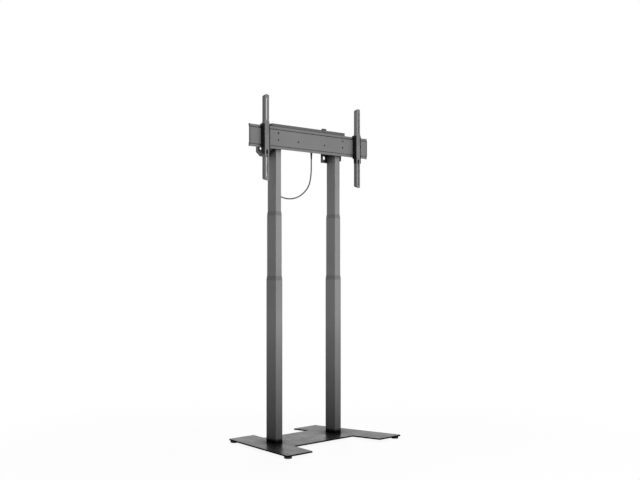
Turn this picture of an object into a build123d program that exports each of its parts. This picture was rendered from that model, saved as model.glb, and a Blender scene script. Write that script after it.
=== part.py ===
from build123d import *
import os
from math import pi, radians, tan

os.makedirs("parts", exist_ok=True)

# The stand is drawn fully raised. Front is -Y, left is -X and the floor is Z 0. Lengths are in millimetres.

# Lift: the middle tube makes its share of the travel, and the upper tube the whole of it
lift_travel = 650.0
middle_stage_share = 0.5
stage_travel = lift_travel * middle_stage_share

# Fits shared by all pieces
overrun = 1.0
running_fit = 0.08
screw_fit = 0.1
side_gap = 0.3
flat_head_angle = 90.0

# Base plate, with two splayed legs and a band between them
base_depth = 598.0
base_thickness = 8.0
base_corner = 6.0
base_edge_break = 0.6
leg_front_x = 450.0
leg_back_x = 343.0
leg_width = 184.0
band_front_y = -118.0
band_back_y = 186.0

# Levelling feet
foot_height = 12.0
foot_diameter = 41.0
foot_inset_x = 22.5
foot_inset_y = 24.0
pad_wall = 3.0
pad_floor = 3.5
pad_edge = 1.2
stem_diameter = 10.0
stem_flange_diameter = 16.0
stem_flange_height = 1.5
stem_recess = 0.5
socket_width = 5.0
socket_depth = 4.0
weld_nut_width = 17.0
weld_nut_height = 6.5

# Telescopic columns, three rectangular tubes one inside the other
column_pitch = 467.0
column_y = 38.0
lower_depth = 80.0
lower_width = 50.0
tube_wall = 1.5
tube_corner = 3.0
stage_gap = 1.0
lower_overlap = 228.0
middle_overlap = 187.0
upper_length = 570.0
column_x = column_pitch / 2
tube_step = 2 * (tube_wall + stage_gap)
middle_depth = lower_depth - tube_step
middle_width = lower_width - tube_step
upper_depth = middle_depth - tube_step
upper_width = middle_width - tube_step

# Trim collars with their glide skirts, and glide pads on the moving tubes
lower_collar_height = 22.0
middle_collar_height = 20.0
collar_lip = 0.7
skirt_length = 60.0
skirt_seat = 0.05
pad_height = 50.0
pad_margin = 3.0
pad_thickness = stage_gap - side_gap

# Column foot blocks and their countersunk screws, put in from below
foot_block_height = 10.0
foot_screw_diameter = 8.0
foot_screw_head = 15.0
foot_screw_length = 16.5
foot_screw_pitch_x = 30.0
foot_screw_pitch_y = 58.0

# Screw drive inside each column
drive_screw_diameter = 14.0
drive_screw_tail = 5.0
drive_screw_reach = 40.0
hollow_screw_diameter = 22.0
hollow_screw_bore = 15.0
hollow_ground_gap = 20.0
hollow_rise = 15.0
retainer_diameter = 30.0
retainer_height = 4.0
travelling_nut_diameter = 26.0
nut_height = 25.0
nut_engagement = 20.0
nut_post_diameter = 32.0
nut_post_wall = 3.0
bearing_height = 30.0
bearing_gap = 10.0
bearing_inset = 40.0
bearing_fit = 0.1
upper_tube_gap = 5.0

# Heights of the raised column, worked out from the floor up
base_top = foot_height + base_thickness
foot_block_top = base_top + foot_block_height
hollow_bottom = foot_block_top + hollow_ground_gap + stage_travel
post_top = hollow_bottom + nut_engagement
bearing_bottom = post_top + bearing_gap + stage_travel
bearing_top = bearing_bottom + bearing_height
upper_bottom = bearing_top + upper_tube_gap + stage_travel
upper_top = upper_bottom + upper_length
middle_bottom = bearing_bottom - bearing_inset
middle_top = upper_bottom + middle_overlap
lower_top = middle_bottom + lower_overlap
hollow_top = upper_bottom + hollow_rise

# Cross-housing on top of the columns
housing_end_margin = 54.5
housing_front_y = -5.0
housing_back_y = 97.0
housing_height = 119.0
housing_sheet = 2.0
housing_edge = 1.5
housing_half_length = column_x + housing_end_margin
floor_top = upper_top + housing_sheet
housing_top = upper_top + housing_height
cavity_half_length = housing_half_length - housing_sheet
cavity_front_y = housing_front_y + housing_sheet
cavity_back_y = housing_back_y - housing_sheet

# Head plates in the upper tubes, held by screws from above
head_plate_height = 20.0
head_plate_fit = 0.1
head_bore_gap = 1.0
head_screw_diameter = 6.0
head_screw_length = 18.0
head_screw_head = 10.0
head_screw_head_height = 4.0
head_screw_pitch_x = 24.0
head_screw_pitch_y = 56.0

# Gearboxes and motors
gearbox_width = 60.0
gearbox_depth = 44.0
gearbox_height = 56.0
gearbox_edge = 3.0
motor_diameter = 42.0
motor_length = 95.0
motor_height = 35.0
motor_edge = 2.0

# Control unit on the housing floor and receiver block on its top
control_length = 130.0
control_depth = 31.0
control_height = 40.0
control_gap = 24.5
control_back_gap = 1.0
control_edge = 2.0
receiver_x = 117.0
receiver_length = 28.0
receiver_depth = 13.0
receiver_height = 9.0
receiver_lip = 2.0
receiver_lip_drop = 10.0
receiver_edge = 0.6

# Head brackets, folded plates behind the columns
bracket_sheet = 3.0
bracket_front_y = 66.0
bracket_back_y = 83.0
bracket_inner = 59.0
bracket_outer = 97.0
bracket_height = 57.0
bracket_slant_x = 30.0
bracket_slant_z = 22.0
bracket_corner = 4.0
bracket_notch = 29.5
gusset_offset = 37.5
gusset_front_y = -7.0
gusset_toe = 8.0
bracket_hole_diameter = 20.0
inner_hole_x = 34.5
inner_hole_drop = 28.0
outer_hole_x = 64.5
outer_hole_drop = 13.0
bracket_hole_diameter_small = 14.0
bracket_screw_diameter = 5.0
bracket_screw_head = 9.0
bracket_screw_head_height = 3.0
bracket_screw_length = 9.0
bracket_screw_inner = 49.0
bracket_screw_outer = 46.0
bracket_screw_y = 74.0

# Rail, a pressed strip with set-back lips along both edges
rail_length = 926.0
rail_height = 120.5
rail_drop = 21.0
rail_front_y = -19.0
rail_sheet = 3.0
rail_step = 3.0
rail_slope = 2.5
upper_lip = 14.0
lower_lip = 17.0
rail_bottom = upper_top - rail_drop
rail_top = rail_bottom + rail_height
lip_front_y = rail_front_y + rail_step
lip_back_y = lip_front_y + rail_sheet
rail_back_y = rail_front_y + rail_sheet

# Rail end caps
cap_end = 2.6
cap_wrap = 3.0
cap_rim = 1.0

# Rail screws, their spacers, their nuts and the cross beam behind the housing sheet
rail_screw_diameter = 6.0
rail_screw_head = 11.0
rail_screw_tail = 2.0
rail_spacer_diameter = 14.0
rail_nut_width = 10.0
rail_nut_height = 5.0
outer_screw_x = 255.0
inner_screw_x = 104.0
upper_screw_drop = 32.5
lower_screw_drop = 70.5
inner_screw_drop = 69.5
beam_sheet = 3.0
beam_height = 96.0
beam_end_gap = 2.0
beam_flange_depth = 25.0
beam_flange_gap = 13.5

# Hook arms, slotted channels that hang on the rail, with a deep left flange and a shallow right one
arm_end_distance = 101.0
arm_length = 465.0
arm_width = 30.0
arm_depth = 22.0
arm_right_depth = 14.5
arm_sheet = 2.5
arm_front_y = -45.0
arm_rise = 31.0
arm_end_corner = 9.0
arm_end_slope = 10.0
arm_fold = 1.5
slot_inner_gap = 95.0
slot_end_margin = 19.5
slot_width = 8.5
window_length = 26.0
window_width = 12.0
window_drop = 39.5
recess_length = 63.0
recess_width = 14.0
recess_depth = 1.2
recess_top_drop = 14.5
arm_x = rail_length / 2 - arm_end_distance
slot_length = arm_length / 2 - slot_inner_gap - slot_end_margin
slot_pitch = 2 * slot_inner_gap + slot_length
arm_back_y = arm_front_y + arm_depth
arm_centre_z = upper_top + arm_rise
arm_bottom = arm_centre_z - arm_length / 2

# Steel hooks on the arms, with their side plates over the rail's upper lip
hook_sheet = 2.5
hook_inset = 2.0
hook_rise = 7.5
shoulder_rise = 19.5
shoulder_depth = 14.0
tongue_gap = 1.5
tongue_thickness = 3.0
tongue_length = 11.5
hook_plate_drop = 115.0
hook_back_y = rail_front_y - side_gap
hook_seat_z = rail_top + side_gap
tongue_front_y = lip_back_y + tongue_gap
tongue_back_y = tongue_front_y + tongue_thickness

# Dark cheeks outside the side plates
cheek_thickness = 4.0
cheek_proud = 1.0
cheek_rise = 5.0
cheek_drop = 35.0
cheek_slope_y = 9.0
cheek_slope_z = 3.0
cheek_toe = 20.0
cheek_toe_slope = 6.0
cheek_edge = 1.0
cheek_front_y = arm_front_y - cheek_proud
cheek_top = rail_top + cheek_rise
cheek_bottom = rail_bottom - cheek_drop

# Latches that close under the rail's lower lip
latch_drop = 42.0
latch_bar = 8.0
latch_nib = 2.7
latch_nib_gap = 0.8
latch_nib_height = 5.0

# Cable: it hangs in one upright plane behind the columns, as places along X and drops below the glands
cable_diameter = 8.0
cable_y = 90.0
gland_diameter = 10.0
gland_height = 12.0
cable_route = (
    (104.5, 0),
    (104.5, 48.0),
    (103.5, 118.0),
    (87.5, 186.5),
    (35.5, 237.0),
    (-28.0, 265.0),
    (-100.0, 270.0),
    (-168.0, 250.0),
    (-219.0, 200.0),
    (-240.0, 132.0),
    (-236.0, 63.0),
    (-236.0, 0),
)
arc_run_share = 0.45

sides = (("left", -1), ("right", 1))
low = (Align.CENTER, Align.CENTER, Align.MIN)
high = (Align.CENTER, Align.CENTER, Align.MAX)


def save(piece, label):
    piece.part.label = label
    export_step(piece.part, f"parts/{label}.step")


# Outer and inner edge of the right leg at the depth y
def leg_outer_x(y):
    return leg_front_x + (leg_back_x - leg_front_x) * (y + base_depth / 2) / base_depth


def leg_inner_x(y):
    return leg_outer_x(y) - leg_width


# Four places round a point, a pitch apart along X and along Y
def four_places(x, y, pitch_x, pitch_y):
    return [(x + i * pitch_x / 2, y + j * pitch_y / 2) for i in (-1, 1) for j in (-1, 1)]


front_y = -base_depth / 2
back_y = base_depth / 2
foot_front_y = front_y + foot_inset_y
foot_back_y = back_y - foot_inset_y
foot_places = {
    "front_left": (-leg_outer_x(foot_front_y) + foot_inset_x, foot_front_y),
    "front_right": (leg_outer_x(foot_front_y) - foot_inset_x, foot_front_y),
    "back_left": (-leg_outer_x(foot_back_y) + foot_inset_x, foot_back_y),
    "back_right": (leg_outer_x(foot_back_y) - foot_inset_x, foot_back_y),
}
foot_screw_places = []
head_screw_places = []
for side, hand in sides:
    foot_screw_places += four_places(hand * column_x, column_y, foot_screw_pitch_x, foot_screw_pitch_y)
    head_screw_places += four_places(hand * column_x, column_y, head_screw_pitch_x, head_screw_pitch_y)

# Base plate
base_outline = (
    (0, band_front_y),
    (leg_inner_x(band_front_y), band_front_y),
    (leg_inner_x(front_y), front_y),
    (leg_outer_x(front_y), front_y),
    (leg_outer_x(back_y), back_y),
    (leg_inner_x(back_y), back_y),
    (leg_inner_x(band_back_y), band_back_y),
    (0, band_back_y),
)
with BuildPart() as base_plate:
    with BuildSketch(Plane.XY.offset(foot_height)) as base_sketch:
        with BuildLine():
            Polyline(*base_outline)
            mirror(about=Plane.YZ)
        make_face()
        fillet([v for v in base_sketch.vertices() if abs(v.X) > overrun], base_corner)
    extrude(amount=base_thickness)
    chamfer(base_plate.faces().sort_by(Axis.Z)[-1].edges(), base_edge_break)
    with Locations(*[(x, y, base_top) for x, y in foot_places.values()]):
        Hole(stem_diameter / 2 + running_fit)
    with Locations(*[Plane((x, y, foot_height), z_dir=(0, 0, -1)) for x, y in foot_screw_places]):
        CounterSinkHole(
            foot_screw_diameter / 2 + screw_fit,
            foot_screw_head / 2 + screw_fit,
            counter_sink_angle=flat_head_angle,
        )
save(base_plate, "base_plate")

# Weld nuts under the plate, inside the hollow pads
with BuildPart() as weld_nuts:
    with BuildSketch(Plane.XY.offset(foot_height)):
        with Locations(*foot_places.values()):
            RegularPolygon(weld_nut_width / 2, 6, major_radius=False)
            Circle(stem_diameter / 2 + running_fit, mode=Mode.SUBTRACT)
    extrude(amount=-weld_nut_height)
save(weld_nuts, "foot_weld_nuts")

# Levelling feet: a hollow round pad, and a stem that screws up through the plate
for place, (x, y) in foot_places.items():
    with BuildPart() as foot:
        with BuildSketch():
            with Locations((x, y)):
                Circle(foot_diameter / 2)
        extrude(amount=foot_height - side_gap)
        fillet(foot.faces().sort_by(Axis.Z)[0].edges(), pad_edge)
        with BuildSketch(Plane.XY.offset(pad_floor)):
            with Locations((x, y)):
                Circle(foot_diameter / 2 - pad_wall)
        extrude(amount=foot_height, mode=Mode.SUBTRACT)
        with Locations((x, y, pad_floor)):
            Cylinder(stem_flange_diameter / 2, stem_flange_height, align=low)
            Cylinder(stem_diameter / 2, base_top - stem_recess - pad_floor, align=low)
        with BuildSketch(Plane.XY.offset(base_top - stem_recess - socket_depth)):
            with Locations((x, y)):
                RegularPolygon(socket_width / 2, 6, major_radius=False)
        extrude(amount=socket_depth + overrun, mode=Mode.SUBTRACT)
    save(foot, f"{place}_foot")

# Column foot blocks and screws
block_corner = tube_corner - tube_wall
with BuildPart() as foot_blocks:
    with BuildSketch(Plane.XY.offset(base_top)):
        with Locations((-column_x, column_y), (column_x, column_y)):
            RectangleRounded(
                lower_width - 2 * tube_wall - 2 * bearing_fit,
                lower_depth - 2 * tube_wall - 2 * bearing_fit,
                block_corner,
            )
        with Locations(*foot_screw_places):
            Circle(foot_screw_diameter / 2 + screw_fit, mode=Mode.SUBTRACT)
    extrude(amount=foot_block_height)
save(foot_blocks, "column_foot_blocks")

with BuildPart() as foot_screws:
    with Locations(*[(x, y, foot_height) for x, y in foot_screw_places]):
        Cylinder(foot_screw_diameter / 2, foot_screw_length, align=low)
        Cone(
            foot_screw_head / 2,
            foot_screw_diameter / 2,
            (foot_screw_head - foot_screw_diameter) / 2 / tan(radians(flat_head_angle / 2)),
            align=low,
        )
save(foot_screws, "column_foot_screws")

# Nut posts on the foot blocks, and the fixed nuts in their tops
fixed_nut_diameter = nut_post_diameter - 2 * nut_post_wall - 2 * bearing_fit
with BuildPart() as nut_posts:
    with BuildSketch(Plane.XY.offset(foot_block_top)):
        with Locations((-column_x, column_y), (column_x, column_y)):
            Circle(nut_post_diameter / 2)
            Circle(nut_post_diameter / 2 - nut_post_wall, mode=Mode.SUBTRACT)
    extrude(amount=post_top - foot_block_top)
save(nut_posts, "nut_posts")

with BuildPart() as fixed_nuts:
    with BuildSketch(Plane.XY.offset(post_top)):
        with Locations((-column_x, column_y), (column_x, column_y)):
            Circle(fixed_nut_diameter / 2)
            Circle(hollow_screw_diameter / 2 + running_fit, mode=Mode.SUBTRACT)
    extrude(amount=-nut_height)
save(fixed_nuts, "fixed_nuts")


# A rectangular tube of a column
def make_tube(label, x, width, depth, bottom, top):
    with BuildPart() as tube:
        with BuildSketch(Plane.XY.offset(bottom)):
            with Locations((x, column_y)):
                RectangleRounded(width, depth, tube_corner)
                RectangleRounded(
                    width - 2 * tube_wall,
                    depth - 2 * tube_wall,
                    tube_corner - tube_wall,
                    mode=Mode.SUBTRACT,
                )
        extrude(amount=top - bottom)
    save(tube, label)


# A tapered collar on the top of a tube, with a skirt that guides the next tube
def make_collar(label, x, width, depth, bottom, height):
    inner_width = width - 2 * tube_wall
    inner_depth = depth - 2 * tube_wall
    opening_width = inner_width - 2 * pad_thickness
    opening_depth = inner_depth - 2 * pad_thickness
    opening_corner = tube_corner + side_gap
    with BuildPart() as collar:
        with BuildSketch(Plane.XY.offset(bottom)):
            with Locations((x, column_y)):
                RectangleRounded(width, depth, tube_corner)
        with BuildSketch(Plane.XY.offset(bottom + height)):
            with Locations((x, column_y)):
                RectangleRounded(
                    opening_width + 2 * collar_lip, opening_depth + 2 * collar_lip, opening_corner
                )
        loft()
        with BuildSketch(Plane.XY.offset(bottom)):
            with Locations((x, column_y)):
                RectangleRounded(
                    inner_width - 2 * skirt_seat,
                    inner_depth - 2 * skirt_seat,
                    tube_corner - tube_wall - skirt_seat,
                )
        extrude(amount=-skirt_length)
        with BuildSketch(Plane.XY.offset(bottom - skirt_length - overrun)):
            with Locations((x, column_y)):
                RectangleRounded(opening_width, opening_depth, opening_corner)
        extrude(amount=skirt_length + height + 2 * overrun, mode=Mode.SUBTRACT)
    save(collar, label)


# Glide pads on the four flats at the lower end of a tube
def make_pads(label, x, width, depth, bottom):
    side_y = depth - 2 * (tube_corner + pad_margin)
    side_x = width - 2 * (tube_corner + pad_margin)
    with BuildPart() as pads:
        with BuildSketch(Plane.XY.offset(bottom)):
            with Locations((x - width / 2 - pad_thickness / 2, column_y)):
                Rectangle(pad_thickness, side_y)
            with Locations((x + width / 2 + pad_thickness / 2, column_y)):
                Rectangle(pad_thickness, side_y)
            with Locations((x, column_y - depth / 2 - pad_thickness / 2)):
                Rectangle(side_x, pad_thickness)
            with Locations((x, column_y + depth / 2 + pad_thickness / 2)):
                Rectangle(side_x, pad_thickness)
        extrude(amount=pad_height)
    save(pads, label)


for side, hand in sides:
    x = hand * column_x
    make_tube(f"{side}_lower_tube", x, lower_width, lower_depth, base_top, lower_top)
    make_tube(f"{side}_middle_tube", x, middle_width, middle_depth, middle_bottom, middle_top)
    make_tube(f"{side}_upper_tube", x, upper_width, upper_depth, upper_bottom, upper_top)
    make_collar(f"{side}_lower_collar", x, lower_width, lower_depth, lower_top, lower_collar_height)
    make_collar(f"{side}_middle_collar", x, middle_width, middle_depth, middle_top, middle_collar_height)
    make_pads(f"{side}_middle_glides", x, middle_width, middle_depth, middle_bottom)
    make_pads(f"{side}_upper_glides", x, upper_width, upper_depth, upper_bottom)

    # Bearing block that carries the hollow screw in the middle tube
    with BuildPart() as bearing:
        with BuildSketch(Plane.XY.offset(bearing_bottom)):
            with Locations((x, column_y)):
                RectangleRounded(
                    middle_width - 2 * tube_wall - 2 * bearing_fit,
                    middle_depth - 2 * tube_wall - 2 * bearing_fit,
                    tube_corner - tube_wall,
                )
                Circle(hollow_screw_diameter / 2 + running_fit, mode=Mode.SUBTRACT)
        extrude(amount=bearing_height)
    save(bearing, f"{side}_screw_bearing")

    # Hollow screw with a retaining ring on each side of its bearing, and the travelling nut on its top
    with BuildPart() as hollow_screw:
        with Locations((x, column_y, hollow_bottom)):
            Cylinder(hollow_screw_diameter / 2, hollow_top - hollow_bottom, align=low)
        with Locations((x, column_y, bearing_bottom - side_gap)):
            Cylinder(retainer_diameter / 2, retainer_height, align=high)
        with Locations((x, column_y, bearing_top + side_gap)):
            Cylinder(retainer_diameter / 2, retainer_height, align=low)
        with Locations((x, column_y, hollow_bottom)):
            Hole(hollow_screw_bore / 2)
        with BuildSketch(Plane.XY.offset(hollow_top)):
            with Locations((x, column_y)):
                Circle(travelling_nut_diameter / 2)
                Circle(drive_screw_diameter / 2 + running_fit, mode=Mode.SUBTRACT)
        extrude(amount=nut_height)
    save(hollow_screw, f"{side}_hollow_screw")

    # Drive screw from the gearbox down into the travelling nut
    with BuildPart() as drive_screw:
        with Locations((x, column_y, hollow_top - drive_screw_tail)):
            Cylinder(
                drive_screw_diameter / 2,
                floor_top + drive_screw_reach - hollow_top + drive_screw_tail,
                align=low,
            )
    save(drive_screw, f"{side}_drive_screw")

    # Gearbox over the column
    with BuildPart() as gearbox:
        with BuildSketch(Plane.XY.offset(floor_top)):
            with Locations((x, column_y)):
                RectangleRounded(gearbox_width, gearbox_depth, gearbox_edge)
        extrude(amount=gearbox_height)
        with BuildSketch(Plane.XY.offset(floor_top)):
            with Locations((x, column_y)):
                Circle(drive_screw_diameter / 2 + running_fit)
        extrude(amount=drive_screw_reach + overrun, mode=Mode.SUBTRACT)
    save(gearbox, f"{side}_gearbox")

    # Motor beside the gearbox, towards the middle
    motor_x = x - hand * gearbox_width / 2
    motor_face = Plane((motor_x, column_y, floor_top + motor_height), z_dir=(-hand, 0, 0))
    with BuildPart() as motor:
        with BuildSketch(motor_face):
            Circle(motor_diameter / 2)
        extrude(amount=motor_length)
        fillet(motor.faces().sort_by(Axis.X)[0 if hand > 0 else -1].edges(), motor_edge)
    save(motor, f"{side}_motor")

    # Head bracket: a back plate with a rim folded forward round it, open where the column stands,
    # and a gusset beside the column's outer face
    bracket_inner_x = hand * (column_x - bracket_inner)
    bracket_outer_x = hand * (column_x + bracket_outer)
    bracket_bottom = upper_top - bracket_height
    bracket_outline = (
        (bracket_inner_x, upper_top),
        (bracket_outer_x, upper_top),
        (bracket_outer_x, bracket_bottom + bracket_slant_z),
        (bracket_outer_x - hand * bracket_slant_x, bracket_bottom),
        (bracket_inner_x, bracket_bottom),
    )
    gusset_outline = (
        (bracket_back_y - bracket_sheet, upper_top),
        (gusset_front_y, upper_top),
        (gusset_front_y, upper_top - gusset_toe),
        (bracket_back_y - bracket_sheet, bracket_bottom),
    )
    bracket_face = Plane((0, bracket_back_y, 0), x_dir=(1, 0, 0), z_dir=(0, -1, 0))
    with BuildPart() as bracket:
        with BuildSketch(bracket_face) as bracket_sketch:
            with BuildLine():
                Polyline(*bracket_outline, close=True)
            make_face()
            fillet(bracket_sketch.vertices(), bracket_corner)
        extrude(amount=bracket_back_y - bracket_front_y)
        with BuildSketch(bracket_face.offset(bracket_sheet)):
            add(bracket_sketch.sketch_local)
            offset(amount=-bracket_sheet, mode=Mode.REPLACE)
        extrude(amount=bracket_back_y - bracket_front_y, mode=Mode.SUBTRACT)
        with Locations((x, bracket_front_y, upper_top)):
            Box(
                2 * bracket_notch,
                2 * (bracket_back_y - bracket_sheet - bracket_front_y),
                2 * (bracket_height + overrun),
                mode=Mode.SUBTRACT,
            )
        with BuildSketch(Plane.YZ.offset(x + hand * gusset_offset)):
            with BuildLine():
                Polyline(*gusset_outline, close=True)
            make_face()
        extrude(amount=hand * bracket_sheet)
        with Locations(
            Plane((x - hand * inner_hole_x, bracket_back_y, upper_top - inner_hole_drop), z_dir=(0, 1, 0))
        ):
            Hole(bracket_hole_diameter / 2, depth=bracket_sheet)
        with Locations(
            Plane((x + hand * outer_hole_x, bracket_back_y, upper_top - outer_hole_drop), z_dir=(0, 1, 0))
        ):
            Hole(bracket_hole_diameter_small / 2, depth=bracket_sheet)
        with Locations(
            (x - hand * bracket_screw_inner, bracket_screw_y, upper_top),
            (x + hand * bracket_screw_outer, bracket_screw_y, upper_top),
        ):
            Hole(bracket_screw_diameter / 2 + screw_fit, depth=bracket_sheet + overrun)
    save(bracket, f"{side}_head_bracket")

# Head plates inside the upper tubes, and the screws that pull the housing floor onto them
with BuildPart() as head_plates:
    with BuildSketch(Plane.XY.offset(upper_top)):
        with Locations((-column_x, column_y), (column_x, column_y)):
            RectangleRounded(
                upper_width - 2 * tube_wall - 2 * head_plate_fit,
                upper_depth - 2 * tube_wall - 2 * head_plate_fit,
                tube_corner - tube_wall,
            )
            Circle(drive_screw_diameter / 2 + head_bore_gap, mode=Mode.SUBTRACT)
        with Locations(*head_screw_places):
            Circle(head_screw_diameter / 2 + screw_fit, mode=Mode.SUBTRACT)
    extrude(amount=-head_plate_height)
save(head_plates, "column_head_plates")

with BuildPart() as head_screws:
    with Locations(*[(x, y, floor_top) for x, y in head_screw_places]):
        Cylinder(head_screw_diameter / 2, head_screw_length, align=high)
        Cylinder(head_screw_head / 2, head_screw_head_height, align=low)
save(head_screws, "column_head_screws")

bracket_screw_places = []
for side, hand in sides:
    bracket_screw_places.append((hand * (column_x - bracket_screw_inner), bracket_screw_y))
    bracket_screw_places.append((hand * (column_x + bracket_screw_outer), bracket_screw_y))
with BuildPart() as bracket_screws:
    with Locations(*[(x, y, upper_top - bracket_sheet) for x, y in bracket_screw_places]):
        Cylinder(bracket_screw_diameter / 2, bracket_screw_length, align=low)
        Cylinder(bracket_screw_head / 2, bracket_screw_head_height, align=high)
save(bracket_screws, "bracket_screws")

# Rail screw places, seen from the front
rail_screw_places = []
for side, hand in sides:
    rail_screw_places.append((hand * outer_screw_x, rail_top - upper_screw_drop))
    rail_screw_places.append((hand * outer_screw_x, rail_top - lower_screw_drop))
    rail_screw_places.append((hand * inner_screw_x, rail_top - inner_screw_drop))


# Planes that look forward at each rail screw, at the depth y
def rail_screw_planes(y):
    return [Plane((x, y, z), x_dir=(1, 0, 0), z_dir=(0, -1, 0)) for x, z in rail_screw_places]


# Housing floor
cavity_depth = cavity_back_y - cavity_front_y
cavity_centre_y = (cavity_front_y + cavity_back_y) / 2
with BuildPart() as housing_floor:
    with BuildSketch(Plane.XY.offset(upper_top)):
        with Locations((0, cavity_centre_y)):
            Rectangle(2 * cavity_half_length, cavity_depth)
        with Locations((-column_x, column_y), (column_x, column_y)):
            Circle(drive_screw_diameter / 2 + head_bore_gap, mode=Mode.SUBTRACT)
        with Locations(*head_screw_places):
            Circle(head_screw_diameter / 2 + screw_fit, mode=Mode.SUBTRACT)
        with Locations(*bracket_screw_places):
            Circle(bracket_screw_diameter / 2 + screw_fit, mode=Mode.SUBTRACT)
    extrude(amount=housing_sheet)
save(housing_floor, "housing_floor")

# Housing cover, a long sheet box open at the bottom
housing_depth = housing_back_y - housing_front_y
with BuildPart() as cover:
    with BuildSketch(Plane.XY.offset(upper_top)):
        with Locations((0, cavity_centre_y)):
            Rectangle(2 * housing_half_length, housing_depth)
    extrude(amount=housing_height)
    fillet(cover.edges().filter_by(Axis.Z), housing_edge)
    fillet(cover.faces().sort_by(Axis.Z)[-1].edges(), housing_edge)
    with BuildSketch(Plane.XY.offset(upper_top)):
        with Locations((0, cavity_centre_y)):
            Rectangle(2 * cavity_half_length, cavity_depth)
    extrude(amount=housing_height - housing_sheet, mode=Mode.SUBTRACT)
    with Locations(*rail_screw_planes(housing_front_y)):
        Hole(rail_screw_diameter / 2 + screw_fit, depth=housing_sheet)
save(cover, "housing_cover")

# Cross beam behind the front sheet, with a foot on the floor between the gearboxes
beam_half_length = cavity_half_length - beam_end_gap
flange_half_length = column_x - gearbox_width / 2 - beam_flange_gap
with BuildPart() as beam:
    with BuildSketch(Plane.XY.offset(floor_top)):
        with Locations((0, cavity_front_y)):
            Rectangle(2 * beam_half_length, beam_sheet, align=(Align.CENTER, Align.MIN))
    extrude(amount=beam_height)
    with BuildSketch(Plane.XY.offset(floor_top)):
        with Locations((0, cavity_front_y)):
            Rectangle(
                2 * flange_half_length,
                beam_sheet + beam_flange_depth,
                align=(Align.CENTER, Align.MIN),
            )
    extrude(amount=beam_sheet)
    with Locations(*rail_screw_planes(cavity_front_y)):
        Hole(rail_screw_diameter / 2 + screw_fit, depth=beam_sheet)
save(beam, "cross_beam")

# Control unit at the back of the housing
control_end_x = column_x - bracket_inner - control_gap
with BuildPart() as control_unit:
    with BuildSketch(Plane.XY.offset(floor_top)):
        with Locations((control_end_x, cavity_back_y - control_back_gap)):
            Rectangle(control_length, control_depth, align=(Align.MAX, Align.MAX))
    extrude(amount=control_height)
    fillet(control_unit.edges().filter_by(Axis.Z), control_edge)
save(control_unit, "control_unit")

# Receiver block that hooks over the front edge of the housing's top
receiver_front_y = housing_front_y - receiver_lip
receiver_back_y = receiver_front_y + receiver_depth
with BuildPart() as receiver:
    with BuildSketch(Plane.YZ.offset(receiver_x - receiver_length / 2)) as receiver_side:
        with BuildLine():
            Polyline(
                (receiver_front_y, housing_top - receiver_lip_drop),
                (receiver_front_y, housing_top + receiver_height),
                (receiver_back_y, housing_top + receiver_height),
                (receiver_back_y, housing_top),
                (housing_front_y, housing_top),
                (housing_front_y, housing_top - receiver_lip_drop),
                close=True,
            )
        make_face()
    extrude(amount=receiver_length)
    fillet(receiver.faces().sort_by(Axis.Z)[-1].edges(), receiver_edge)
save(receiver, "receiver_block")

# Rail profile, front face first and then back along the rear face
rail_profile = (
    (lip_front_y, rail_bottom),
    (lip_front_y, rail_bottom + lower_lip - rail_slope),
    (rail_front_y, rail_bottom + lower_lip),
    (rail_front_y, rail_top - upper_lip),
    (lip_front_y, rail_top - upper_lip + rail_slope),
    (lip_front_y, rail_top),
    (lip_back_y, rail_top),
    (lip_back_y, rail_top - upper_lip),
    (rail_back_y, rail_top - upper_lip - rail_slope),
    (rail_back_y, rail_bottom + lower_lip + rail_slope),
    (lip_back_y, rail_bottom + lower_lip),
    (lip_back_y, rail_bottom),
)
with BuildPart() as rail:
    with BuildSketch(Plane.YZ.offset(-rail_length / 2)):
        with BuildLine():
            Polyline(*rail_profile, close=True)
        make_face()
    extrude(amount=rail_length)
    with Locations(*rail_screw_planes(rail_front_y)):
        CounterSinkHole(
            rail_screw_diameter / 2 + screw_fit,
            rail_screw_head / 2 + screw_fit,
            depth=rail_sheet,
            counter_sink_angle=flat_head_angle,
        )
save(rail, "rail")

# End caps that wrap the rail's ends
with BuildPart() as end_caps:
    with BuildSketch(Plane.YZ.offset(rail_length / 2 - cap_wrap)):
        with BuildLine():
            Polyline(*rail_profile, close=True)
        make_face()
        offset(amount=cap_rim, kind=Kind.INTERSECTION)
    extrude(amount=cap_wrap + cap_end)
    with BuildSketch(Plane.YZ.offset(rail_length / 2 - cap_wrap)):
        with BuildLine():
            Polyline(*rail_profile, close=True)
        make_face()
    extrude(amount=cap_wrap, mode=Mode.SUBTRACT)
    mirror(about=Plane.YZ)
save(end_caps, "rail_end_caps")

with BuildPart() as spacers:
    for plane in rail_screw_planes(housing_front_y):
        with BuildSketch(plane):
            Circle(rail_spacer_diameter / 2)
            Circle(rail_screw_diameter / 2 + screw_fit, mode=Mode.SUBTRACT)
        extrude(amount=housing_front_y - rail_back_y)
save(spacers, "rail_spacers")

beam_back_y = cavity_front_y + beam_sheet
rail_screw_length = beam_back_y + rail_nut_height + rail_screw_tail - rail_front_y
with BuildPart() as rail_screws:
    with Locations(*rail_screw_planes(rail_front_y)):
        Cylinder(rail_screw_diameter / 2, rail_screw_length, align=high)
        Cone(
            rail_screw_diameter / 2,
            rail_screw_head / 2,
            (rail_screw_head - rail_screw_diameter) / 2 / tan(radians(flat_head_angle / 2)),
            align=high,
        )
save(rail_screws, "rail_screws")

with BuildPart() as rail_nuts:
    for plane in rail_screw_planes(beam_back_y):
        with BuildSketch(plane):
            RegularPolygon(rail_nut_width / 2, 6, major_radius=False)
            Circle(rail_screw_diameter / 2 + screw_fit, mode=Mode.SUBTRACT)
        extrude(amount=-rail_nut_height)
save(rail_nuts, "rail_nuts")

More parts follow.
